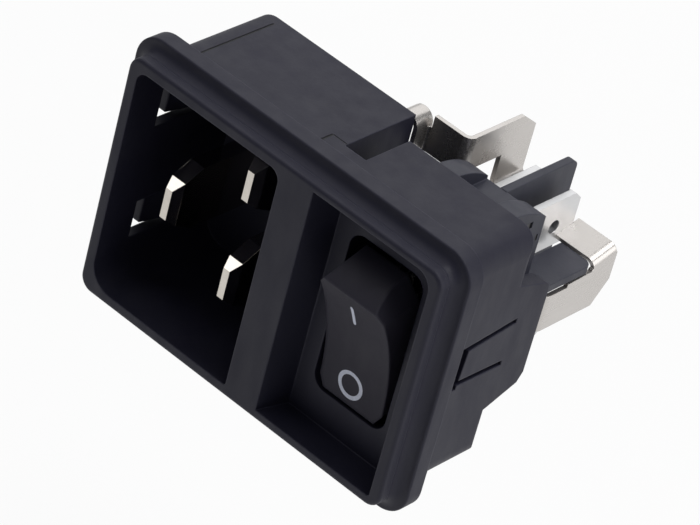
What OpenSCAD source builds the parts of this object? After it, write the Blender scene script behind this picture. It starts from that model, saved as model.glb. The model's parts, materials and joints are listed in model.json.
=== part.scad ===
// Snap-in panel inlet of the three flat pin kind, joined with a two pole rocker switch.
// The origin is the centre of the flange on its rear face, where the panel bears.
// X runs along the long side with the inlet at -X, Y runs to the rear, Z runs up.

/* [Flange and front frame] */
// Flange length along X
flange_w = 48.5; // [48.1:0.1:50]
// Flange height along Z
flange_h = 34.06; // [33.7:0.02:36]
// Flange thickness from its front edge to the panel seat
flange_t = 2.25; // [1.9:0.05:2.4]
// Flange corner radius
flange_r = 3.4; // [3.2:0.05:3.8]
// Width of the flange that shows around the raised front frame
shelf_w = 1.6; // [1.5:0.05:1.8]
// Distance from the panel seat to the front face
frame_d = 4.93; // [4.8:0.01:5.4]
// Radius of the hollow cove between front frame and flange
cove_r = 1.3; // [1:0.05:1.3]
// Edge radius around the front face
front_edge_r = 0.45; // [0.3:0.05:1]
// Edge radius around the front of the flange
flange_edge_r = 0.25; // [0.1:0.05:0.3]

/* [Body behind the flange] */
// Length of the body that passes through the panel
body_w = 44.9; // [44.7:0.1:45.1]
// Height of the body that passes through the panel
body_h = 30.4; // [30.2:0.1:31]
// Radius of the long edges of the body
body_r = 2.7; // [2:0.1:3]
// Depth of the inlet half behind the flange
inlet_d = 15.07; // [14.8:0.01:15.1]
// Depth of the switch half behind the flange
switch_d = 10.72; // [10.5:0.01:11]
// Left side of the gap between the two halves
notch_x0 = 0.9; // [0.8:0.05:1.1]
// Right side of the gap between the two halves
notch_x1 = 3.9; // [3.7:0.05:4]
// Front end of the gap between the two halves
notch_y = 3.72; // [3:0.02:5]
// Thickness of the right side wall
side_wall_t = 1.9; // [1.8:0.05:1.95]
// Rear end of the lug on the right side wall
lug_y = 15.77; // [15:0.01:16]
// Radius of the rear edge of the right side wall
rear_edge_r = 0.8; // [0.4:0.05:1]

/* [Inlet cavity] */
// Left inner face of the cavity
cavity_x0 = -21.2; // [-21.25:0.05:-21]
// Right inner face of the cavity
cavity_x1 = -0.15; // [-0.4:0.05:-0.1]
// Height of the cavity
cavity_h = 28.2; // [27.8:0.1:28.4]
// Depth of the cavity floor behind the flange
cavity_d = 13.07; // [12.8:0.01:13.1]
// Upper corner radius of the cavity
cavity_r_top = 1.4; // [1:0.1:2.5]
// Lower left corner radius of the cavity
cavity_r_low = 3; // [2:0.1:3.5]

/* [Inlet pins] */
// Pin width along Z
pin_w = 8; // [7.8:0.05:8]
// Pin thickness along X
pin_t = 2; // [1.9:0.05:2]
// Distance between the centres of the live and neutral pins
pin_pitch = 13; // [12.8:0.1:13.2]
// X position of the live and neutral pins
pin_x = -6.8; // [-7:0.1:-6.6]
// X position of the earth pin
earth_x = -14.8; // [-15:0.1:-14.6]
// Y position of the live and neutral pin tips
pin_tip_y = -0.63; // [-0.9:0.01:-0.4]
// Y position of the earth pin tip
earth_tip_y = -3.29; // [-3.6:0.01:-3]
// Length of the whole lead-in taper on the pin width
pin_lead = 3.9; // [3.4:0.05:4.4]
// Pin width where the steep first part of the lead-in ends
pin_mid_w = 5.6; // [5.2:0.1:6]
// Height of the flat at the pin tip
pin_tip_flat = 3.8; // [3:0.1:4]
// Thickness of the flat at the pin tip
pin_tip_t = 0.9; // [0.8:0.05:1.2]
// Length of the steep first part of the lead-in and of the taper on the pin thickness
pin_bevel = 1.3; // [0.9:0.05:1.5]
// Width of the tail behind a pin
tail_w = 4; // [3.6:0.1:4.2]
// Thickness of the tail behind a pin
tail_t = 1.4; // [1.2:0.05:1.6]
// Rear end of the pin tails
tail_y = 18.4; // [18.2:0.1:18.8]

/* [Snap windows] */
// Distance from the centre plane to the near edge of a left wall window
window_z0 = 5; // [4.8:0.1:5.2]
// Distance from the centre plane to the far edge of a left wall window
window_z1 = 9.9; // [9.7:0.1:10.1]
// Rear edge of the left wall windows
window_y1 = 7.67; // [7.4:0.01:8]
// Gap beside each snap tongue
tongue_gap = 0.35; // [0.3:0.05:0.5]
// Outward reach of the left snap tongues beyond the body
tongue_out = 1.2; // [1:0.05:1.5]
// Free end of the left snap tongues, behind the panel
tongue_y = 2.65; // [2.1:0.05:2.9]
// Thickness of the left snap tongues at the free end
tongue_t = 1.35; // [1:0.05:1.4]
// Width of the two long cuts beside the right snap tongue
slit_w = 0.65; // [0.5:0.05:0.75]
// Front end of the cut around the right snap tongue
slit_y0 = 2.83; // [2.7:0.01:3]
// Rear end of the cut around the right snap tongue
slit_y1 = 11.4; // [11:0.05:11.8]

/* [Switch recess] */
// X position of the switch centre plane
switch_x = 12.85; // [12.8:0.01:12.9]
// Height of the rocker pivot over the flange centre
switch_z = 0.2; // [0.1:0.05:0.3]
// Recess length along X at its mouth
recess_w = 16.8; // [16.4:0.1:17]
// Recess height along Z
recess_h = 28.9; // [28.5:0.1:29.1]
// Inward slope of each recess side over its depth
recess_taper = 1.1; // [0.8:0.05:1.3]
// Y position of the recess floor
recess_y = -0.73; // [-0.9:0.01:-0.6]
// Radius of the upper right recess corner
recess_r = 2; // [1:0.1:2.5]
// Thickness of the recess floor
recess_floor_t = 1.4; // [1.2:0.05:1.5]
// Width along X of the well that the rocker sits in
well_w = 10.35; // [10.2:0.05:10.5]
// Clearance between the rocker ends and the well
well_gap = 0.25; // [0.2:0.01:0.35]
// Corner radius of the well
well_r = 1.8; // [1:0.1:2]

/* [Rocker] */
// Rocker width along X
rocker_w = 9.2; // [9:0.05:9.4]
// Rocker width at its front ridges
rocker_ridge_w = 9; // [8.8:0.05:9.1]
// Radius from the pivot to the rocker ends
rocker_r = 9.95; // [9.8:0.01:10]
// Width of the slanted cut at each corner of the rocker
rocker_cut = 1.1; // [0.8:0.05:1.4]
// Y position of the rocker pivot
pivot_y = 1.37; // [1.3:0.01:1.45]
// Distance from the pivot to the ridge plane
ridge_d = 4.85; // [4.7:0.01:4.9]
// Distance from the pivot to the bottom of the finger hollow
hollow_d = 3.5; // [3.4:0.01:3.8]
// Turn of the rocker to each side of its middle position, in degrees
rocker_turn = 17.5; // [17:0.1:17.5]
// Radius of the rocker trunnions
trunnion_r = 1.2; // [1.1:0.01:1.3]
// Radial running clearance of the trunnions
trunnion_gap = 0.07; // [0.04:0.01:0.1]
// Wall thickness of the hollow rocker
rocker_wall = 1.1; // [1:0.05:1.2]

/* [Switch mechanism] */
// Distance of each pole from the switch centre plane
pole_dx = 2.525; // [2.5:0.005:2.55]
// Distance from the pivot to the centre of a plunger tip
plunger_l = 6.4; // [6.3:0.01:6.45]
// Radius of the plunger tips
tip_r = 0.9; // [0.85:0.01:0.92]
// Radius of the plungers
plunger_r = 0.95; // [0.92:0.01:0.98]
// Radial running clearance of the plungers
plunger_gap = 0.05; // [0.03:0.01:0.08]
// Spare distance between the plunger tips and the see-saw contacts
tip_gap = 0.1; // [0.08:0.01:0.2]
// Turn of a see-saw contact to each side of its middle position, in degrees
seesaw_turn = 8; // [7:0.1:8]
// Backward slope of each see-saw wing, in degrees
wing_slope = 10; // [9:0.1:11]
// Length of each see-saw wing
wing_l = 6.6; // [6.2:0.1:6.8]
// Width of the see-saw contacts
wing_w = 3.2; // [3:0.05:3.3]
// Sheet thickness of the see-saw contacts
wing_t = 0.6; // [0.5:0.05:0.7]
// Radius of the bearing discs on the see-saw contacts
disc_r = 0.9; // [0.8:0.01:0.95]
// Running clearance of the bearing discs
disc_gap = 0.06; // [0.03:0.01:0.1]
// Radius of the contact rivets
rivet_r = 1.2; // [1.1:0.05:1.3]
// Height of the contact rivets
rivet_t = 0.5; // [0.4:0.05:0.5]
// Distance of the contact rivets from the see-saw middle
rivet_l = 5.2; // [5:0.05:5.3]
// Wire diameter of the plunger springs
wire_d = 0.3; // [0.25:0.01:0.35]

/* [Terminal carrier] */
// Width of the carrier between its outer sides
carrier_w = 11.8; // [11.6:0.05:12]
// Height of the carrier
carrier_h = 24.4; // [24:0.1:24.6]
// Rear face of the carrier
carrier_y = 17.07; // [16.9:0.01:17.15]
// Width of each ear on top of the carrier
ear_w = 2.8; // [2.5:0.05:3]
// Inset of the left ear from the left side of the carrier
ear_inset = 0.7; // [0.4:0.05:0.9]
// Height of the ears where they leave the body
ear_z = 14.5; // [14.2:0.05:14.9]
// Height of the ears at their rear edge
ear_rear_z = 12.6; // [12.4:0.05:12.8]
// Thickness of the insulating barriers
barrier_t = 0.95; // [0.8:0.05:1]
// Rear end of the upright barrier
barrier_y = 29.2; // [28.5:0.05:29.5]
// Rear end of the flat barrier
shelf_y = 24.8; // [24:0.05:24.9]
// Height of the lower face of the flat barrier
shelf_z = 4.05; // [4:0.05:4.1]

/* [Terminals] */
// Distance of each terminal blade from the switch centre plane
tab_dx = 2.55; // [2.5:0.01:2.6]
// Terminal blade width along Z
tab_w = 6.3; // [6.2:0.05:6.35]
// Terminal blade thickness along X
tab_t = 0.8; // [0.75:0.01:0.82]
// Distance of the blade rows from the pivot height to their near edge
tab_z = 3.7; // [3.6:0.05:3.8]
// Rear end of the switch terminal blades
tab_y = 27.8; // [27.5:0.01:28.5]
// Corner cut at the end of each blade
tab_cut = 1.15; // [1:0.05:1.9]
// Radius of the hole in each blade
tab_hole_r = 0.85; // [0.7:0.05:0.9]
// Rear end of the earth blade
earth_tab_y = 26.2; // [25:0.1:28]
// Distance of each blade hole from the end of its blade
tab_hole_y = 3.65; // [3.4:0.05:3.9]
// Reach of the earth plate beyond its pin towards the left wall
earth_plate_l = 2.6; // [2.4:0.05:2.8]
// Reach of the earth plate beyond its pin towards the switch
earth_plate_r = 1.6; // [1.4:0.05:1.8]
// Height of the earth plate
earth_plate_h = 8.4; // [8:0.1:9]

/* [Bus bars] */
// Sheet thickness of the bus bars
bar_t = 0.55; // [0.5:0.01:0.6]
// Front face of the bus bars where they pass behind the body
bar_y = 17.25; // [17.2:0.01:17.4]
// Outer radius of the bus bar bends
bend_r = 1.1; // [0.9:0.05:1.2]
// Top edge of the live bus bar
live_top_z = 14.85; // [14.6:0.05:15.3]
// Outer face of the live bus bar side plate
live_side_x = 7; // [6.8:0.05:7.1]
// Outer face of the neutral bus bar side plate
neutral_side_x = 21.45; // [21.35:0.05:21.6]
// Rear edge of the bus bar side plates
bar_rear_y = 28.95; // [28.5:0.05:29.3]
// Front edge of the live bus bar web that meets the upper blade
live_web_y = 23.97; // [23.5:0.01:24.3]
// Front edge of the neutral bus bar web that meets the upper blade
neutral_web_y = 25.1; // [24.9:0.05:25.3]
// Length of the neutral bus bar web
neutral_web_l = 3.7; // [3.4:0.05:4.2]
// Lower edge of the neutral strap that crosses behind the carrier
strap_z0 = -1.4; // [-1.6:0.05:-1.3]
// Upper edge of the neutral strap that crosses behind the carrier
strap_z1 = 3.3; // [3.1:0.05:3.4]
// Clearance around the strap where it passes through the barrier
strap_gap = 0.3; // [0.2:0.05:0.4]

/* [Hidden] */
$fn = 96;
e = 0.01;
black = [0.09, 0.09, 0.10];
metal = [0.78, 0.77, 0.75];
silver = [0.86, 0.86, 0.85];
steel = [0.6, 0.6, 0.62];
cx = flange_w / 2 - flange_r;
cz = flange_h / 2 - flange_r;
lug_x = body_w / 2 - side_wall_t;
chamber_x0 = 2 * switch_x - lug_x;
chamber_z = body_h / 2 - 1.85;
chamber_y = recess_y + recess_floor_t;
plate_y = switch_d - 1.3;
cheek_x = well_w / 2;
cheek_t = 1.2;
cheek_y = 4.3;
skirt_y = 3.6;
skirt_z = rocker_r + well_gap + 1.2;
seesaw_y = pivot_y + plunger_l + tip_r + tip_gap;
closed = wing_slope + seesaw_turn;
rivet_n = wing_t + rivet_t;
rivet_y = seesaw_y + rivet_l * sin(closed) + rivet_n * cos(closed) + rivet_r * sin(closed) + 0.05;
plate_t = 0.8;
base_y = rivet_y + rivet_t;
pocket_y = base_y + plate_t;
pole_half = (carrier_w / 2 - 1 - barrier_t / 2) / 2;
pocket_z = 10.8;
ear_run = carrier_y - switch_d;
ear_drop = ear_z - ear_rear_z;
ear_arc = (ear_run * ear_run + ear_drop * ear_drop) / (2 * ear_drop);
web_turn = 14;
neck_half = 1.05;
neck_z = 2.2;
shelf_t = 0.95;

// Box between two corners
module span(x0, x1, y0, y1, z0, z1) {
  translate([x0, y0, z0])
    cube([x1 - x0, y1 - y0, z1 - z0]);
}

// Outline in X and Z drawn along Y
module along_y(y0, y1) {
  translate([0, y1, 0])
    rotate([90, 0, 0])
      linear_extrude(height = y1 - y0)
        children();
}

// Outline in Y and Z drawn along X
module along_x(x0, x1) {
  translate([x0, 0, 0])
    rotate([90, 0, 90])
      linear_extrude(height = x1 - x0)
        children();
}

// Outline in X and Y drawn along Z
module along_z(z0, z1) {
  translate([0, 0, z0])
    linear_extrude(height = z1 - z0)
      children();
}

// Waste outside a rounded corner, turned into place by the caller
module corner_waste(r) {
  difference() {
    translate([-0.5, -0.5])
      square([r + 0.5, r + 0.5]);
    translate([r, r])
      circle(r);
  }
}

// Rectangle with its own radius at each corner
module outline(x0, x1, z0, z1, tl, tr, bl, br) {
  difference() {
    translate([x0, z0])
      square([x1 - x0, z1 - z0]);
    translate([x0, z0])
      corner_waste(bl);
    translate([x1, z0])
      mirror([1, 0])
        corner_waste(br);
    translate([x0, z1])
      mirror([0, 1])
        corner_waste(tl);
    translate([x1, z1])
      mirror([1, 0])
        mirror([0, 1])
          corner_waste(tr);
  }
}

// Half section of the rim, from the corner centre outward, with Y as the second axis
module rim_section() {
  wall = flange_r - shelf_w;
  difference() {
    union() {
      translate([0, -frame_d])
        square([wall, frame_d]);
      translate([wall - e, -flange_t - cove_r])
        square([cove_r + e, cove_r + flange_t]);
      translate([0, -flange_t])
        square([flange_r, flange_t]);
    }
    translate([wall + cove_r, -flange_t - cove_r])
      circle(cove_r);
    translate([wall, -frame_d])
      mirror([1, 0])
        corner_waste(front_edge_r);
    translate([flange_r, -flange_t])
      mirror([1, 0])
        corner_waste(flange_edge_r);
  }
}

// Straight side of the rim, lying along X with its outside towards +Z
module rim_side(l) {
  translate([-l / 2, 0, 0])
    rotate([0, 90, 0])
      linear_extrude(height = l)
        mirror([1, 0])
          rim_section();
}

// Quarter of the rim round a corner
module rim_corner() {
  rotate([-90, 0, 0])
    rotate_extrude(angle = 90)
      mirror([0, 1])
        mirror([0, 1])
          rim_section();
}

// Front frame, cove and flange as one ring with a solid middle
module rim() {
  span(-cx, cx, -frame_d, 0, -cz, cz);
  for (s = [-1, 1]) {
    translate([0, 0, s * cz])
      scale([1, 1, s])
        rim_side(2 * cx);
    translate([s * cx, 0, 0])
      scale([s, 1, 1])
        rotate([0, 90, 0])
          rim_side(2 * cz);
  }
  for (sx = [-1, 1]) {
    for (sz = [-1, 1]) {
      translate([sx * cx, 0, sz * cz])
        scale([sx, 1, -sz])
          rim_corner();
    }
  }
}

// Side wall lug behind the switch half, in Y and Z
module lug_outline() {
  polygon([[switch_d - 1, 8.5], [switch_d - 0.25, 8.35], [lug_y - 0.8, 7.1], [lug_y - 0.15, 6.65],
    [lug_y, 6.1], [lug_y, -5.2], [lug_y - 0.7, -6.4], [switch_d - 0.25, -8], [switch_d - 1, -8.2]]);
}

// The three legs of the cut around the right snap tongue, in Y and Z
module slit_area() {
  polygon([[slit_y0, 3], [slit_y1, 3.15 + slit_w], [slit_y1, 3.15], [slit_y0 + 1.16, 3 - slit_w],
    [slit_y0, 3 - slit_w]]);
  polygon([[slit_y0, 2.9], [slit_y0 + 1.16, 2.9], [slit_y0 + 1.16, 3 - slit_w], [slit_y0 + 0.94, -0.4],
    [slit_y0 + 0.7, -2.6], [slit_y0 + 0.03, -2.5]]);
  polygon([[slit_y0 + 0.6, -1.42], [slit_y1 - 0.55, -1.65], [slit_y1 - 0.5, -1.65 - slit_w],
    [slit_y0 + 0.6, -1.42 - slit_w]]);
}

// Snap tongue in a left wall window, in X and Y
module tongue_outline() {
  out = -body_w / 2 - tongue_out;
  polygon([[cavity_x0, window_y1 + e], [-body_w / 2, window_y1 + e], [out, tongue_y + 0.7],
    [out + 0.15, tongue_y], [out + tongue_t, tongue_y]]);
}

// Recess around the rocker, drawn in X and Y so that its sides slope inward
module recess() {
  w0 = recess_w / 2;
  w1 = recess_w / 2 - recess_taper;
  wf = recess_w / 2 + recess_taper * 0.3;
  slope_run = frame_d + recess_y;
  z0 = switch_z - recess_h / 2;
  z1 = switch_z + recess_h / 2;
  intersection() {
    along_z(z0, z1)
      polygon([[switch_x - wf, -frame_d - 0.3 * slope_run], [switch_x + wf, -frame_d - 0.3 * slope_run],
        [switch_x + w1, recess_y], [switch_x - w1, recess_y]]);
    along_y(-frame_d - 2, recess_y + 1)
      outline(switch_x - w0 - 1, switch_x + w0, z0, z1, 0.4, recess_r, 0.4, 0.4);
  }
}

module well() {
  z = rocker_r + well_gap;
  along_y(recess_y - 1, chamber_y + 1)
    outline(switch_x - well_w / 2, switch_x + well_w / 2, switch_z - z, switch_z + z,
      well_r, well_r, well_r, well_r);
}

module pin_slot(x, z) {
  span(x - pin_t / 2, x + pin_t / 2, cavity_d - 1, inlet_d + 1, z - pin_w / 2, z + pin_w / 2);
}

// Moulded housing in one piece
module housing() {
  color(black) {
    difference() {
      union() {
        rim();
        difference() {
          along_y(-e, inlet_d)
            outline(-body_w / 2, body_w / 2, -body_h / 2, body_h / 2, body_r, body_r, body_r, body_r);
          span(notch_x0, notch_x1, notch_y, inlet_d + 1, -body_h, body_h);
          span(notch_x1 - e, body_w, switch_d, inlet_d + 1, -body_h, body_h);
          along_z(-body_h, body_h)
            translate([body_w / 2, switch_d])
              mirror([1, 0])
                mirror([0, 1])
                  corner_waste(rear_edge_r);
        }
        along_x(lug_x, body_w / 2)
          lug_outline();
      }
      along_y(-frame_d - 1, cavity_d)
        outline(cavity_x0, cavity_x1, -cavity_h / 2, cavity_h / 2,
          cavity_r_top, cavity_r_top, cavity_r_low, 0.3);
      recess();
      well();
      span(chamber_x0, lug_x, chamber_y, switch_d + 1, -chamber_z, chamber_z);
      along_x(lug_x - 1, body_w / 2 + 1)
        slit_area();
      for (s = [-1, 1]) {
        zc = s * (window_z0 + window_z1) / 2;
        wh = (window_z1 - window_z0) / 2;
        span(-body_w, cavity_x0 + 1, 0.05, window_y1, zc - wh, zc + wh);
      }
      pin_slot(pin_x, pin_pitch / 2);
      pin_slot(pin_x, -pin_pitch / 2);
      pin_slot(earth_x, 0);
      translate([switch_x - cheek_x - cheek_t - 0.2, pivot_y, switch_z])
        rotate([0, 90, 0])
          cylinder(r = trunnion_r + trunnion_gap, h = 2 * (cheek_x + cheek_t + 0.2));
    }
    for (s = [-1, 1]) {
      zc = s * (window_z0 + window_z1) / 2;
      th = (window_z1 - window_z0) / 2 - tongue_gap;
      along_z(zc - th, zc + th)
        tongue_outline();
    }
    for (s = [-1, 1]) {
      x0 = s < 0 ? switch_x - cheek_x - cheek_t : switch_x + cheek_x;
      difference() {
        union() {
          span(x0, x0 + cheek_t, chamber_y - e, cheek_y, switch_z - 4, switch_z + 4);
          span(x0, x0 + cheek_t, chamber_y - e, skirt_y, switch_z - skirt_z, switch_z + skirt_z);
        }
        translate([x0 - 1, pivot_y, switch_z])
          rotate([0, 90, 0])
            cylinder(r = trunnion_r + trunnion_gap, h = cheek_t + 2);
      }
    }
  }
}

// Blade outline of an inlet pin in Y and Z
module pin_side(tip, z) {
  polygon([[tip, z - pin_tip_flat / 2], [tip + pin_bevel, z - pin_mid_w / 2], [tip + pin_lead, z - pin_w / 2],
    [bar_y, z - pin_w / 2], [bar_y, z + pin_w / 2], [tip + pin_lead, z + pin_w / 2],
    [tip + pin_bevel, z + pin_mid_w / 2], [tip, z + pin_tip_flat / 2]]);
}

// Blade outline of an inlet pin in X and Y
module pin_top(tip, x) {
  polygon([[x - pin_tip_t / 2, tip], [x - pin_t / 2, tip + pin_bevel], [x - pin_t / 2, bar_y + 1],
    [x + pin_t / 2, bar_y + 1], [x + pin_t / 2, tip + pin_bevel], [x + pin_tip_t / 2, tip]]);
}

module pin(x, z, tip, rear) {
  intersection() {
    along_x(x - pin_t, x + pin_t)
      pin_side(tip, z);
    along_z(z - pin_w, z + pin_w)
      pin_top(tip, x);
    span(x - pin_t, x + pin_t, tip - 1, rear, z - pin_w, z + pin_w);
  }
  span(x - tail_t / 2, x + tail_t / 2, rear - e, tail_y - bar_y + rear, z - tail_w / 2, z + tail_w / 2);
}

module live_pin() {
  color(metal)
    pin(pin_x, pin_pitch / 2, pin_tip_y, bar_y);
}

module neutral_pin() {
  color(metal)
    pin(pin_x, -pin_pitch / 2, pin_tip_y, bar_y);
}

module earth_pin() {
  color(metal)
    pin(earth_x, 0, earth_tip_y, inlet_d);
}

// Terminal blade outline in Y and Z
module blade_outline(y0, y1, z0, z1) {
  difference() {
    polygon([[y0, z0], [y1 - tab_cut, z0], [y1, z0 + tab_cut * 0.85], [y1, z1 - tab_cut * 0.85],
      [y1 - tab_cut, z1], [y0, z1]]);
    translate([y1 - tab_hole_y, z0 + (z1 - z0) * 0.43])
      circle(tab_hole_r);
  }
}

module earth_tab() {
  color(metal) {
    difference() {
      span(earth_x - earth_plate_l, earth_x + earth_plate_r, inlet_d, inlet_d + plate_t,
        -earth_plate_h / 2, earth_plate_h / 2);
      span(earth_x - tail_t / 2, earth_x + tail_t / 2, inlet_d - plate_t, inlet_d + 2 * plate_t,
        -tail_w / 2, tail_w / 2);
    }
    along_x(earth_x - earth_plate_l, earth_x - earth_plate_l + tab_t)
      blade_outline(inlet_d + e, earth_tab_y, -tab_w / 2, tab_w / 2);
  }
}

// Quarter ring in the plane of the caller, centred on the origin
module quarter(r_out, r_in) {
  intersection() {
    difference() {
      circle(r_out);
      circle(r_in);
    }
    square([r_out + 1, r_out + 1]);
  }
}

module live_busbar() {
  side_in = live_side_x - bar_t;
  leg_x = notch_x0 + 0.55;
  arch_x = leg_x - 1.525;
  arch_z = 13.35;
  leg_r = 0.95;
  arch_r = leg_x - arch_x;
  web_z = 6.2;
  tab_face = switch_x - tab_dx - tab_t / 2;
  color(metal) {
    difference() {
      span(pin_x - 2.6, arch_x - arch_r + bar_t, bar_y, bar_y + bar_t,
        pin_pitch / 2 - 2.9, pin_pitch / 2 + 3);
      span(pin_x - tail_t / 2, pin_x + tail_t / 2, bar_y - 1, bar_y + 2,
        pin_pitch / 2 - tail_w / 2, pin_pitch / 2 + tail_w / 2);
    }
    span(arch_x - arch_r, arch_x - arch_r + bar_t, inlet_d + 0.15, bar_y + bar_t,
      pin_pitch / 2 - 2.9, arch_z);
    along_y(inlet_d + 0.15, bar_y + bar_t)
      translate([arch_x, arch_z])
        intersection() {
          difference() {
            circle(arch_r);
            circle(arch_r - bar_t);
          }
          translate([-5, 0])
            square([10, 5]);
        }
    span(leg_x - bar_t, leg_x, inlet_d + 0.15, bar_y + bar_t - leg_r, 10.2, arch_z + e);
    along_z(10.2, arch_z + e)
      translate([leg_x - bar_t + leg_r, bar_y + bar_t - leg_r])
        mirror([1, 0])
          quarter(leg_r, leg_r - bar_t);
    span(leg_x - bar_t + leg_r, live_side_x - bend_r, bar_y, bar_y + bar_t, 10.2, live_top_z);
    along_z(10.57, live_top_z)
      translate([live_side_x - bend_r, bar_y + bend_r])
        mirror([0, 1])
          quarter(bend_r, bend_r - bar_t);
    along_x(side_in, live_side_x)
      polygon([[bar_y + bend_r, 10.57], [live_web_y, 10.57], [live_web_y, web_z + bend_r],
        [bar_rear_y, web_z + bend_r], [bar_rear_y, 13.1], [bar_rear_y - 2.45, live_top_z],
        [bar_y + bend_r, live_top_z]]);
    along_y(live_web_y, bar_rear_y)
      translate([side_in + bend_r, web_z + bend_r])
        mirror([1, 0])
          mirror([0, 1])
            quarter(bend_r, bend_r - bar_t);
    span(side_in + bend_r, tab_face, live_web_y, bar_rear_y, web_z, web_z + bar_t);
  }
}

module neutral_busbar() {
  side_in = neutral_side_x - bar_t;
  turn_x = notch_x0 - 0.7;
  neutral_rear_y = bar_rear_y + 0.1;
  tab_face = switch_x + tab_dx + tab_t / 2;
  color(metal) {
    difference() {
      union() {
        span(pin_x - 2.6, turn_x + 3, bar_y, bar_y + bar_t, -pin_pitch / 2 - 2.6, -pin_pitch / 2 + 2.6);
        span(turn_x, turn_x + 3, bar_y, bar_y + bar_t, -pin_pitch / 2 - 2.6, strap_z1);
        span(turn_x, neutral_side_x - bend_r, bar_y, bar_y + bar_t, strap_z0, strap_z1);
      }
      span(pin_x - tail_t / 2, pin_x + tail_t / 2, bar_y - 1, bar_y + 2,
        -pin_pitch / 2 - tail_w / 2, -pin_pitch / 2 + tail_w / 2);
    }
    along_z(strap_z0, strap_z1)
      translate([neutral_side_x - bend_r, bar_y + bend_r])
        mirror([0, 1])
          quarter(bend_r, bend_r - bar_t);
    along_x(side_in, neutral_side_x)
      polygon([[bar_y + bend_r, strap_z0], [26.87, strap_z0 + 0.05], [neutral_rear_y, 1.5],
        [neutral_rear_y, 5.1],
        [neutral_web_y, 4.1], [neutral_web_y, 3.9], [21.1, strap_z1 + 0.4], [21.1, strap_z1],
        [bar_y + bend_r, strap_z1]]);
    translate([0, neutral_web_y, 5.2])
      rotate([web_turn, 0, 0]) {
        span(tab_face, neutral_side_x - bend_r, 0, neutral_web_l, -bar_t, 0);
        along_y(0, neutral_web_l)
          translate([neutral_side_x - bend_r, -bend_r])
            quarter(bend_r, bend_r - bar_t);
      }
  }
}

// Inner plate and blade of an upper terminal, with the two cradle ears for the see-saw
module in_tab(s) {
  px = switch_x + s * pole_dx;
  tx = switch_x + s * tab_dx;
  z0 = switch_z + tab_z;
  color(metal) {
    span(px - 1.8, px + 1.8, base_y, base_y + plate_t, switch_z - 2, z0 + tab_w);
    along_x(tx - tab_t / 2, tx + tab_t / 2)
      blade_outline(base_y + plate_t - e, tab_y, z0, z0 + tab_w);
    for (k = [-1, 1]) {
      x0 = px + k * (neck_half + 0.3) - 0.25;
      difference() {
        span(x0, x0 + 0.5, seesaw_y, base_y + e, switch_z - 1.3, switch_z + 1.3);
        translate([x0 - 1, seesaw_y, switch_z])
          rotate([0, 90, 0])
            cylinder(r = disc_r + disc_gap, h = 3);
      }
    }
  }
}

module out_tab(s) {
  px = switch_x + s * pole_dx;
  tx = switch_x + s * tab_dx;
  z1 = switch_z - tab_z;
  color(metal) {
    span(px - 1.8, px + 1.8, base_y, base_y + plate_t, z1 - tab_w, z1 + 0.5);
    along_x(tx - tab_t / 2, tx + tab_t / 2)
      blade_outline(base_y + plate_t - e, tab_y, z1 - tab_w, z1);
  }
}

module fixed_contact(s) {
  color(silver)
    translate([switch_x + s * pole_dx, base_y, switch_z - rivet_l * cos(closed) + rivet_n * sin(closed)])
      rotate([90, 0, 0])
        cylinder(r = rivet_r + 0.1, h = rivet_t);
}

// Puts a piece drawn around the see-saw edge into its resting place
module at_seesaw(s) {
  translate([switch_x + s * pole_dx, seesaw_y, switch_z])
    rotate([-seesaw_turn, 0, 0])
      children();
}

module seesaw(s) {
  color(silver)
    at_seesaw(s) {
      difference() {
        along_x(-wing_w / 2, wing_w / 2)
          polygon([[0, 0], [wing_l * sin(wing_slope), wing_l * cos(wing_slope)],
            [wing_l * sin(wing_slope) + wing_t, wing_l * cos(wing_slope)], [wing_t, 0],
            [wing_l * sin(wing_slope) + wing_t, -wing_l * cos(wing_slope)],
            [wing_l * sin(wing_slope), -wing_l * cos(wing_slope)]]);
        for (k = [-1, 1]) {
          translate([k * (neck_half + 1), 0, 0])
            cube([2, 6, 2 * neck_z], center = true);
        }
      }
      for (k = [-1, 1]) {
        translate([k * (neck_half + 0.25) - 0.3, 0, 0])
          rotate([0, 90, 0])
            cylinder(r = disc_r, h = 0.6);
      }
    }
}

module moving_contact(s) {
  color(silver)
    at_seesaw(s)
      rotate([wing_slope, 0, 0])
        translate([0, wing_t, -rivet_l])
          rotate([-90, 0, 0])
            cylinder(r = rivet_r, h = rivet_t);
}

// Puts a piece drawn around the rocker pivot into its resting place
module at_rocker() {
  translate([switch_x, pivot_y, switch_z])
    rotate([rocker_turn, 0, 0])
      children();
}

// Rocker profile in Y and Z around the pivot, with the finger hollow as one arc
module rocker_profile() {
  z = sqrt(rocker_r * rocker_r - ridge_d * ridge_d);
  sag = ridge_d - hollow_d;
  hollow_r = (z * z + sag * sag) / (2 * sag);
  difference() {
    intersection() {
      circle(rocker_r, $fn = 192);
      translate([-ridge_d, -z - 3])
        square([ridge_d + 0.8, 2 * z + 6]);
    }
    translate([-hollow_d - hollow_r, 0])
      circle(hollow_r, $fn = 360);
  }
}

// Rocker seen from the front, in X and Z, with a slanted cut at each corner
module rocker_plan() {
  w = rocker_w / 2;
  z0 = 7.2;
  z1 = z0 + 1.65 * rocker_cut;
  z2 = 2 * z1 - z0;
  polygon([[-w, -z0], [2 * rocker_cut - w, -z2], [w - 2 * rocker_cut, -z2], [w, -z0],
    [w, z0], [w - 2 * rocker_cut, z2], [2 * rocker_cut - w, z2], [-w, z0]]);
}

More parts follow.
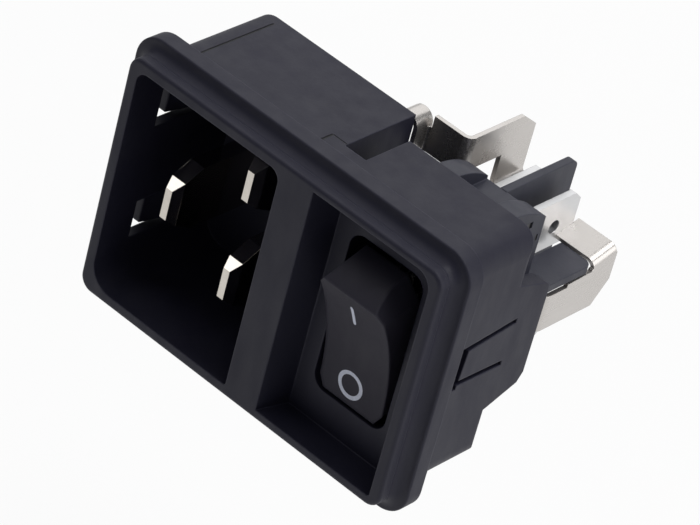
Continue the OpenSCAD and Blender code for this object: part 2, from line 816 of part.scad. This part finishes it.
module rocker() {
  w = rocker_w / 2;
  wr = rocker_ridge_w / 2;
  color(black)
    at_rocker()
      difference() {
        union() {
          intersection() {
            along_y(-12, 4)
              rocker_plan();
            along_x(-w, w)
              rocker_profile();
            along_z(-12, 12)
              polygon([[-wr, -ridge_d], [wr, -ridge_d], [w, -1.2], [w, 2], [-w, 2], [-w, -1.2]]);
          }
          rotate([0, 90, 0])
            translate([0, 0, -cheek_x - cheek_t])
              cylinder(r = trunnion_r, h = 2 * (cheek_x + cheek_t));
          for (s = [-1, 1]) {
            translate([s * pole_dx, -0.5, 0])
              rotate([-90, 0, 0])
                cylinder(r = plunger_r + plunger_gap + 0.45, h = 5.5);
          }
        }
        for (s = [-1, 1]) {
          span(-w + rocker_wall, w - rocker_wall, -hollow_d + rocker_wall + 0.3, 3,
            s > 0 ? 2 : -8.2, s > 0 ? 8.2 : -2);
          translate([s * pole_dx, -2.1, 0])
            rotate([-90, 0, 0])
              cylinder(r = plunger_r + plunger_gap, h = 10);
        }
      }
}

module plunger(s) {
  color(steel)
    at_rocker()
      translate([s * pole_dx, 0, 0])
        rotate([-90, 0, 0])
          rotate_extrude()
            intersection() {
              union() {
                translate([0, 1.6])
                  square([plunger_r, plunger_l - 1.6 - 0.3]);
                translate([0, plunger_l])
                  circle(tip_r);
                translate([0, plunger_l - 0.4])
                  square([tip_r, 0.4]);
              }
              square([3, 12]);
            }
}

module spring(s) {
  mean_r = plunger_r - wire_d;
  coils = 8;
  step = (1.6 + 2.1 - wire_d) / coils;
  color(steel)
    at_rocker()
      translate([s * pole_dx, -2.1, 0])
        rotate([-90, 0, 0])
          rotate_extrude() {
            for (k = [0:coils]) {
              translate([mean_r, wire_d / 2 + k * step])
                circle(wire_d / 2, $fn = 24);
            }
            translate([mean_r - 0.05, wire_d / 2])
              square([0.1, coils * step]);
          }
}

// Switch base with two ears, an upright barrier and a flat barrier
module terminal_carrier() {
  x0 = switch_x - carrier_w / 2;
  x1 = switch_x + carrier_w / 2;
  color(black)
    difference() {
      union() {
        span(x0, x1, plate_y, carrier_y, -carrier_h / 2, carrier_h / 2);
        span(chamber_x0, lug_x, plate_y, switch_d, -chamber_z, chamber_z);
        for (s = [-1, 1]) {
          ex = s < 0 ? x0 + ear_inset : x1 - ear_w;
          intersection() {
            span(ex, ex + ear_w, switch_d, carrier_y, 9, ear_z);
            translate([ex - 1, switch_d, ear_z - ear_arc])
              rotate([0, 90, 0])
                cylinder(r = ear_arc, h = ear_w + 2, $fn = 192);
          }
        }
        along_x(switch_x - barrier_t / 2, switch_x + barrier_t / 2)
          outline(carrier_y - e, barrier_y, -carrier_h / 2 + 0.05, carrier_h / 2 + 0.05, 0.01, 1, 0.01, 1);
        along_z(shelf_z, shelf_z + shelf_t)
          outline(switch_x + 4.05, neutral_side_x - 0.05, carrier_y - 0.5, shelf_y, 0.01, 1, 0.01, 0.01);
      }
      for (s = [-1, 1]) {
        px = switch_x + s * (pole_half + barrier_t / 2);
        span(px - pole_half, px + pole_half, plate_y - 1, pocket_y, switch_z - pocket_z, switch_z + pocket_z);
        tx = switch_x + s * tab_dx;
        for (k = [-1, 1]) {
          z0 = k > 0 ? switch_z + tab_z : switch_z - tab_z - tab_w;
          span(tx - tab_t / 2, tx + tab_t / 2, pocket_y - 1, carrier_y + 1, z0, z0 + tab_w);
        }
      }
      span(switch_x - 2 * barrier_t, switch_x + 2 * barrier_t, carrier_y, bar_y + bar_t + strap_gap,
        strap_z0 - strap_gap, strap_z1 + strap_gap);
    }
}

module live_in_tab() {
  in_tab(-1);
}

module neutral_in_tab() {
  in_tab(1);
}

module live_out_tab() {
  out_tab(-1);
}

module neutral_out_tab() {
  out_tab(1);
}

module live_fixed_contact() {
  fixed_contact(-1);
}

module neutral_fixed_contact() {
  fixed_contact(1);
}

module live_seesaw() {
  seesaw(-1);
}

module neutral_seesaw() {
  seesaw(1);
}

module live_moving_contact() {
  moving_contact(-1);
}

module neutral_moving_contact() {
  moving_contact(1);
}

module live_plunger() {
  plunger(-1);
}

module neutral_plunger() {
  plunger(1);
}

module live_spring() {
  spring(-1);
}

module neutral_spring() {
  spring(1);
}

housing();
terminal_carrier();
live_pin();
neutral_pin();
earth_pin();
earth_tab();
live_busbar();
neutral_busbar();
live_in_tab();
neutral_in_tab();
live_out_tab();
neutral_out_tab();
live_fixed_contact();
neutral_fixed_contact();
live_seesaw();
neutral_seesaw();
live_moving_contact();
neutral_moving_contact();
rocker();
live_plunger();
neutral_plunger();
live_spring();
neutral_spring();
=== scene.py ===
import bpy, bmesh, json, math
from mathutils import Matrix, Vector


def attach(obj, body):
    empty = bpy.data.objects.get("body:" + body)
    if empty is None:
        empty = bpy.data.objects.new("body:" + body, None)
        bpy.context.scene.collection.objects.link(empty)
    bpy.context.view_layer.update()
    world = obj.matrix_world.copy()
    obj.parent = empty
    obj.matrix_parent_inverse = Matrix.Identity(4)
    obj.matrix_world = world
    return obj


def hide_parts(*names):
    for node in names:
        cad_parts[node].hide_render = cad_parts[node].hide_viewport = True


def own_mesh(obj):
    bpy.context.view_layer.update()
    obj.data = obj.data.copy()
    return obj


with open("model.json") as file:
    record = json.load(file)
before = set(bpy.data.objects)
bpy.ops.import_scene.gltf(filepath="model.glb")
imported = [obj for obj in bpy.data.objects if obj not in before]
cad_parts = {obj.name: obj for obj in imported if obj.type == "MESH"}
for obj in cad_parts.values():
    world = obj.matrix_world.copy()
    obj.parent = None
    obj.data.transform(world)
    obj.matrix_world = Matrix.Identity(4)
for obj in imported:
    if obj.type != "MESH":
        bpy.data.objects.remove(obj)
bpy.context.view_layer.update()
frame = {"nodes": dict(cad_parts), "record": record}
scene = bpy.context.scene
scene.view_settings.view_transform = "Standard"
MM = 0.001
X, Y, Z = range(3)
# Part of a noise's range that carries most of its values
NOISE_LOW, NOISE_HIGH = 0.3, 0.7


# Node helpers
def rgb(v):
    return (v[0], v[1], v[2], 1.0)


def link(t, a, b):
    t.links.new(a, b)


def new_material(name):
    m = bpy.data.materials.new(name)
    m.use_nodes = True
    t = m.node_tree
    t.nodes.clear()
    out = t.nodes.new("ShaderNodeOutputMaterial")
    bsdf = t.nodes.new("ShaderNodeBsdfPrincipled")
    link(t, bsdf.outputs[0], out.inputs[0])
    return m, t, bsdf


def noise(t, scale, detail, rough, stretch=(1.0, 1.0, 1.0), seed=0.0):
    """Noise in object space, pulled out by stretch and moved by seed"""
    c = t.nodes.new("ShaderNodeTexCoord")
    mp = t.nodes.new("ShaderNodeMapping")
    link(t, c.outputs["Object"], mp.inputs["Vector"])
    mp.inputs["Scale"].default_value = stretch
    mp.inputs["Location"].default_value = (seed, seed * 0.7, seed * 1.3)
    n = t.nodes.new("ShaderNodeTexNoise")
    n.inputs["Scale"].default_value = scale
    n.inputs["Detail"].default_value = detail
    n.inputs["Roughness"].default_value = rough
    link(t, mp.outputs[0], n.inputs["Vector"])
    return n.outputs["Fac"]


def colour_ramp(t, src, dark, light):
    r = t.nodes.new("ShaderNodeValToRGB")
    e = r.color_ramp.elements
    e[0].position, e[0].color = NOISE_LOW, rgb(dark)
    e[1].position, e[1].color = NOISE_HIGH, rgb(light)
    link(t, src, r.inputs[0])
    return r.outputs[0]


def value_ramp(t, src, a, b, va, vb):
    r = t.nodes.new("ShaderNodeMapRange")
    r.inputs["From Min"].default_value = a
    r.inputs["From Max"].default_value = b
    r.inputs["To Min"].default_value = va
    r.inputs["To Max"].default_value = vb
    link(t, src, r.inputs["Value"])
    return r.outputs[0]


def math_node(t, op, *values):
    n = t.nodes.new("ShaderNodeMath")
    n.operation = op
    for i, v in enumerate(values):
        if isinstance(v, (int, float)):
            n.inputs[i].default_value = v
        else:
            link(t, v, n.inputs[i])
    return n.outputs[0]


def mottle(t, first, share, second):
    """Sum of two noises, the first with its share and the second with the rest"""
    return math_node(t, "ADD", math_node(t, "MULTIPLY", first, share),
                     math_node(t, "MULTIPLY", second, 1.0 - share))


def mix_colour(t, factor, under, over):
    """From the colour of the socket under to the fixed colour over"""
    mix = t.nodes.new("ShaderNodeMix")
    mix.data_type = "RGBA"
    link(t, factor, mix.inputs["Factor"])
    link(t, under, mix.inputs[6])
    mix.inputs[7].default_value = rgb(over)
    return mix.outputs[2]


def bump(t, strength, distance, height, normal=None, invert=False):
    n = t.nodes.new("ShaderNodeBump")
    n.invert = invert
    n.inputs["Strength"].default_value = strength
    n.inputs["Distance"].default_value = distance
    link(t, height, n.inputs["Height"])
    if normal is not None:
        link(t, normal, n.inputs["Normal"])
    return n.outputs[0]


def edge_mask(t, radius):
    """Rounded normal at the edges, and how far it leans from the flat one"""
    bev = t.nodes.new("ShaderNodeBevel")
    bev.samples = 6
    bev.inputs["Radius"].default_value = radius
    geo = t.nodes.new("ShaderNodeNewGeometry")
    dot = t.nodes.new("ShaderNodeVectorMath")
    dot.operation = "DOT_PRODUCT"
    link(t, bev.outputs[0], dot.inputs[0])
    link(t, geo.outputs["Normal"], dot.inputs[1])
    return bev.outputs[0], math_node(t, "SUBTRACT", 1.0, dot.outputs["Value"])


# Materials, each with dark and light colour, then lowest and highest roughness
def plastic(name, dark, light, rough_lo, rough_hi, edge=0.00022, grain=0.35, wear_and_highlight=0.5, spec=0.5):
    m, t, b = new_material(name)
    broad = noise(t, 95.0, 3.0, 0.6, seed=1.7)
    fine = noise(t, 2600.0, 4.0, 0.7, seed=4.1)
    flow = noise(t, 420.0, 3.0, 0.6, stretch=(1.0, 1.0, 0.3), seed=2.3)
    tone = colour_ramp(t, mottle(t, broad, 0.55, fine), dark, light)
    rounded, lean = edge_mask(t, edge)
    # Edges lighter along the flow noise: partly wear, partly a painted highlight on the moulded
    # edges
    edge_lightening = value_ramp(t, math_node(t, "MULTIPLY", lean, flow), 0.01, 0.2, 0.0, wear_and_highlight)
    scuff_and_highlight_tone = [v * 1.9 + 0.01 for v in light]
    link(t, mix_colour(t, edge_lightening, tone, scuff_and_highlight_tone), b.inputs["Base Color"])
    link(t, value_ramp(t, flow, NOISE_LOW, NOISE_HIGH, rough_lo, rough_hi),
         b.inputs["Roughness"])
    b.inputs["Specular IOR Level"].default_value = spec
    link(t, bump(t, grain, 0.00003, fine, rounded), b.inputs["Normal"])
    return m


def metal(name, dark, light, rough_lo, rough_hi, grain=0.05, haze=0.04):
    m, t, b = new_material(name)
    streak = noise(t, 2400.0, 4.0, 0.65, stretch=(1.0, 0.12, 1.0), seed=3.3)
    cloud = noise(t, 260.0, 3.0, 0.55, seed=7.9)
    both = mottle(t, streak, 0.4, cloud)
    tone = colour_ramp(t, both, dark, light)
    rounded, lean = edge_mask(t, 0.00008)
    edge_lightening = value_ramp(t, lean, 0.02, 0.3, 0.0, 0.35)
    polished = [min(1.0, v * 1.15) for v in light]
    link(t, mix_colour(t, edge_lightening, tone, polished), b.inputs["Base Color"])
    link(t, value_ramp(t, both, NOISE_LOW, NOISE_HIGH, rough_lo, rough_hi),
         b.inputs["Roughness"])
    b.inputs["Metallic"].default_value = 1.0 - haze
    link(t, bump(t, grain, 0.000005, streak, rounded), b.inputs["Normal"])
    return m


def paint(name, dark, light, rough_lo, rough_hi):
    m, t, b = new_material(name)
    fleck = noise(t, 3000.0, 3.0, 0.6, seed=9.1)
    link(t, colour_ramp(t, fleck, dark, light), b.inputs["Base Color"])
    link(t, value_ramp(t, fleck, NOISE_LOW, NOISE_HIGH, rough_lo, rough_hi),
         b.inputs["Roughness"])
    link(t, bump(t, 0.3, 0.00002, fleck), b.inputs["Normal"])
    return m


MAT = {
    # Housing and rocker take the full edge lightening: wear and a painted highlight along their
    # edges
    "housing": plastic("housing_moulding", (0.0095, 0.0093, 0.0205), (0.0130, 0.0126, 0.0265),
                       0.5, 0.62, edge=0.00026, grain=0.42, wear_and_highlight=1.0, spec=0.32),
    "carrier": plastic("carrier_moulding", (0.018, 0.019, 0.032), (0.024, 0.025, 0.041),
                       0.46, 0.58, spec=0.42),
    "rocker": plastic("rocker_moulding", (0.0240, 0.0222, 0.0330), (0.0295, 0.0274, 0.0400),
                      0.44, 0.56, edge=0.0005, wear_and_highlight=1.0, spec=0.2),
    "plated": metal("nickel_plate", (0.53, 0.505, 0.480), (0.58, 0.553, 0.530),
                    0.24, 0.32, haze=0.12),
    "pin": metal("nickel_pin", (0.53, 0.495, 0.45), (0.61, 0.575, 0.525),
                 0.06, 0.13, grain=0.4, haze=0.0),
    "blade": metal("tinned_blade", (0.62, 0.62, 0.63), (0.68, 0.68, 0.68), 0.32, 0.42),
    "contact": metal("silver_plate", (0.66, 0.65, 0.63), (0.76, 0.75, 0.73), 0.2, 0.32),
    "steel": metal("spring_steel", (0.5, 0.5, 0.5), (0.62, 0.62, 0.62), 0.25, 0.4),
    "print": paint("sign_paint", (0.58, 0.61, 0.72), (0.68, 0.71, 0.82), 0.45, 0.6),
}


def fine_lines(m, colour, depth, marks):
    """Narrow grooves, or ridges where depth is below zero, in a moulded surface, with a colour
    laid over them: dark as painted shade in grooves and holes, light as a painted highlight on
    ridges.

    A mark is its axis, middle and half width in mm, and the gates that it stays inside:
    axis, middle and half width, or with None as the middle, everything past the half width.
    """
    t = m.node_tree
    b = [k for k in t.nodes if k.type == "BSDF_PRINCIPLED"][0]
    c = t.nodes.new("ShaderNodeTexCoord")
    xyz = t.nodes.new("ShaderNodeSeparateXYZ")
    link(t, c.outputs["Object"], xyz.inputs[0])
    painted_line_mask = None
    for axis, mid, half, gates in marks:
        off = math_node(t, "SUBTRACT", xyz.outputs[axis], mid * MM)
        one = value_ramp(t, math_node(t, "ABSOLUTE", off), 0.0, half * MM, 1.0, 0.0)
        for g_axis, g_mid, g_half in gates:
            src = xyz.outputs[g_axis]
            if g_mid is None:
                k = math_node(t, "GREATER_THAN", math_node(t, "ABSOLUTE", src), g_half * MM)
            else:
                k = math_node(t, "COMPARE", src, g_mid * MM, g_half * MM)
            one = math_node(t, "MULTIPLY", one, k)
        painted_line_mask = one if painted_line_mask is None else math_node(t, "MAXIMUM", painted_line_mask, one)
    before = {k: b.inputs[k].links[0].from_socket for k in ("Base Color", "Normal")}
    link(t, mix_colour(t, painted_line_mask, before["Base Color"], colour), b.inputs["Base Color"])
    link(t, bump(t, 1.0, abs(depth) * MM, painted_line_mask, before["Normal"], invert=depth > 0),
         b.inputs["Normal"])


# Mould step and core slit on the top of the body, painted dark in the grooves as painted shade
fine_lines(MAT["housing"], (0.002, 0.002, 0.003), 0.5,
           [(X, -19.15, 0.15, [(Y, 7.2, 6.6), (Z, 15.2, 0.6)]),
            (X, -1.2, 0.17, [(Y, 3.1, 1.0), (Z, 15.2, 0.5)])])
# Short line to the right from the rear end of the slit, painted dark as painted shade
fine_lines(MAT["housing"], (0.004, 0.004, 0.006), 0.14,
           [(Y, 4.05, 0.12, [(X, -0.15, 1.0), (Z, 15.2, 0.5)])])
# Raised parting line in the cove, painted lighter as a painted highlight along it
fine_lines(MAT["housing"], (0.026, 0.026, 0.040), -0.05,
           [(Y, -3.6, 0.11, [(Z, None, 14.65)]),
            (Y, -3.6, 0.11, [(X, None, 21.8)])])
# Two small cores in the side of the right ear, painted dark as painted shade in the holes
fine_lines(MAT["carrier"], (0.001, 0.001, 0.002), 0.9,
           [(Y, 14.45, 0.5, [(Z, 12.3, 0.4), (X, 18.75, 0.3)]),
            (Y, 16.33, 0.2, [(Z, 10.1, 0.38), (X, 18.75, 0.3)])])

# Material of each node, by its name or its ending, else by its slot in the record
BY_NAME = {"housing": "housing", "terminal_carrier": "carrier"}
BY_ENDING = {"tab": "blade", "pin": "pin"}
slots = {s["node"]: s["material_slot"] for s in frame["record"]["subparts"]}
for name, ob in frame["nodes"].items():
    key = BY_NAME.get(name) or BY_ENDING.get(name.split("_")[-1]) or slots[name]
    for s in ob.material_slots:
        s.material = MAT[key]


# Printed signs on the rocker, drawn in its middle position and turned with it
PIVOT = Vector((12.85, 1.37, 0.2)) * MM
TURN = math.radians(17.5)
# The hollow face in mm: distance of its ridges from the pivot, and how far the ridges
# and the middle of the face stand in front of it
RIDGE_REACH, RIDGE_FRONT, FACE_FRONT = 9.95, 4.85, 3.5
# Front and back of a sign in mm, measured outwards from the face
SIGN_LIFTS = (0.02, -0.03)


def face_y(z):
    """Front face of the rocker's section at height z, in mm round its pivot"""
    ridge_z = math.sqrt(RIDGE_REACH ** 2 - RIDGE_FRONT ** 2)
    sag = RIDGE_FRONT - FACE_FRONT
    r = (ridge_z ** 2 + sag ** 2) / (2 * sag)
    return -FACE_FRONT - r + math.sqrt(r * r - z * z)


def on_face(x, z, lift):
    """Point at x, z in mm and lifted off the rocker's face, put into the resting pose"""
    y = face_y(z) - lift
    c, s = math.cos(TURN), math.sin(TURN)
    return PIVOT + Vector((x, y * c - z * s, y * s + z * c)) * MM


def mesh_piece(name, verts, faces, mat, body):
    me = bpy.data.meshes.new(name)
    me.from_pydata([tuple(v) for v in verts], [], faces)
    me.update()
    bm = bmesh.new()
    bm.from_mesh(me)
    bmesh.ops.recalc_face_normals(bm, faces=bm.faces)
    bm.to_mesh(me)
    bm.free()
    ob = bpy.data.objects.new(name, me)
    scene.collection.objects.link(ob)
    me.materials.append(mat)
    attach(ob, body)


def print_ring(name, cx, cz, r_out, r_in, n=96):
    """Closed ring printed on the rocker face"""
    verts, faces = [], []
    for r in (r_out, r_in):
        for lift in SIGN_LIFTS:
            for i in range(n):
                a = 2 * math.pi * i / n
                verts.append(on_face(cx + r * math.cos(a), cz + r * math.sin(a), lift))
    # First vertex of each loop: outer front, outer back, inner front, inner back
    of, ob, nf, nb = 0, n, 2 * n, 3 * n
    for i in range(n):
        j = (i + 1) % n
        faces += [(of + i, of + j, nf + j, nf + i), (ob + j, ob + i, nb + i, nb + j),
                  (ob + i, ob + j, of + j, of + i), (nf + i, nf + j, nb + j, nb + i)]
    mesh_piece(name, verts, faces, MAT["print"], "rocker")


def print_bar(name, cx, z0, z1, half, n=14):
    """Closed bar with rounded corners printed on the rocker face"""
    soft = half * 0.5
    verts, faces = [], []
    for i in range(n + 1):
        z = z0 + (z1 - z0) * i / n
        end = min(z - z0, z1 - z)
        w = half - soft + math.sqrt(max(0.0, soft ** 2 - max(0.0, soft - end) ** 2))
        verts += [on_face(x, z, lift) for x in (cx - w, cx + w) for lift in SIGN_LIFTS]
    for i in range(n):
        a, c = 4 * i, 4 * (i + 1)
        faces += [(a, a + 2, c + 2, c), (a + 1, c + 1, c + 3, a + 3),
                  (a, c, c + 1, a + 1), (a + 2, a + 3, c + 3, c + 2)]
    faces += [(0, 1, 3, 2), (4 * n, 4 * n + 2, 4 * n + 3, 4 * n + 1)]
    mesh_piece(name, verts, faces, MAT["print"], "rocker")


print_ring("sign_off", -0.3, -6.2, 1.74, 1.26)
print_bar("sign_on", -0.28, 3.15, 6.3, 0.21)


def press_spring(side):
    """Copy of the spring's own coil, carried by the rocker in place of the spring, which is
    hidden
    """
    src = frame["nodes"][side + "_spring"]
    ob = bpy.data.objects.new(side + "_coil", src.data.copy())
    scene.collection.objects.link(ob)
    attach(ob, "rocker")
    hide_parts(side + "_spring")
    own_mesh(ob)


press_spring("live")
press_spring("neutral")

# Floor, light and camera, in metres and watts
FLOOR_HALF, FLOOR_Z = 3.0, -0.075
# Share of plain white in what the camera and reflections see of the floor
FLOOR_WHITE = 0.86


def add_floor():
    me = bpy.data.meshes.new("floor")
    s, z = FLOOR_HALF, FLOOR_Z
    me.from_pydata([(-s, -s, z), (s, -s, z), (s, s, z), (-s, s, z)], [], [(0, 1, 2, 3)])
    ob = bpy.data.objects.new("floor", me)
    scene.collection.objects.link(ob)
    m, t, b = new_material("floor_paper")
    cloud = noise(t, 12.0, 2.0, 0.5)
    link(t, colour_ramp(t, cloud, (0.80, 0.80, 0.80), (0.83, 0.83, 0.83)),
         b.inputs["Base Color"])
    b.inputs["Roughness"].default_value = 0.8
    em = t.nodes.new("ShaderNodeEmission")
    em.inputs["Color"].default_value = (1, 1, 1, 1)
    em.inputs["Strength"].default_value = 1.0
    mx = t.nodes.new("ShaderNodeMixShader")
    lp = t.nodes.new("ShaderNodeLightPath")
    seen = math_node(t, "MAXIMUM", lp.outputs["Is Camera Ray"], lp.outputs["Is Glossy Ray"])
    link(t, math_node(t, "MULTIPLY", seen, FLOOR_WHITE), mx.inputs[0])
    out = [k for k in t.nodes if k.type == "OUTPUT_MATERIAL"][0]
    link(t, b.outputs[0], mx.inputs[1])
    link(t, em.outputs[0], mx.inputs[2])
    link(t, mx.outputs[0], out.inputs[0])
    me.materials.append(m)


def add_world():
    """A dim cool light all round, which the camera sees as white"""
    scene.world = scene.world or bpy.data.worlds.new("studio")
    scene.world.use_nodes = True
    t = scene.world.node_tree
    t.nodes.clear()
    out = t.nodes.new("ShaderNodeOutputWorld")
    mx = t.nodes.new("ShaderNodeMixShader")
    lp = t.nodes.new("ShaderNodeLightPath")
    link(t, lp.outputs["Is Camera Ray"], mx.inputs[0])
    for place, colour, strength in ((1, (0.95, 0.97, 1.0), 0.2), (2, (1, 1, 1), 1.0)):
        bg = t.nodes.new("ShaderNodeBackground")
        bg.inputs[0].default_value = rgb(colour)
        bg.inputs[1].default_value = strength
        link(t, bg.outputs[0], mx.inputs[place])
    link(t, mx.outputs[0], out.inputs[0])


def add_area(name, pos, size, power):
    """Rectangular light at pos that faces the origin"""
    d = bpy.data.lights.new(name, "AREA")
    d.shape = "RECTANGLE"
    d.size, d.size_y = size
    d.energy = power
    ob = bpy.data.objects.new(name, d)
    scene.collection.objects.link(ob)
    ob.location = pos
    ob.rotation_euler = (-Vector(pos)).to_track_quat("-Z", "Y").to_euler()


add_floor()
add_world()
add_area("top_box", (0.32, 0.12, 0.90), (0.7, 0.7), 5.4)
add_area("back_box", (-0.46, 0.66, 0.62), (1.5, 1.1), 5.8)
add_area("right_box", (0.85, 0.35, 0.30), (0.7, 0.7), 3.2)
add_area("front_box", (-0.46, -0.34, 0.81), (0.36, 0.36), 0.75)

cam_data = bpy.data.cameras.new("camera")
cam_data.sensor_width = 36.0
cam_data.lens = 212.82
cam_data.clip_start = 0.01
cam_data.clip_end = 20.0
cam = bpy.data.objects.new("camera", cam_data)
scene.collection.objects.link(cam)
cam.matrix_world = Matrix(((0.71708, -0.52555, 0.45781, 0.20518),
                           (0.66169, 0.30693, -0.68408, -0.29483),
                           (0.21900, 0.79346, 0.56785, 0.25062),
                           (0, 0, 0, 1)))
scene.camera = cam
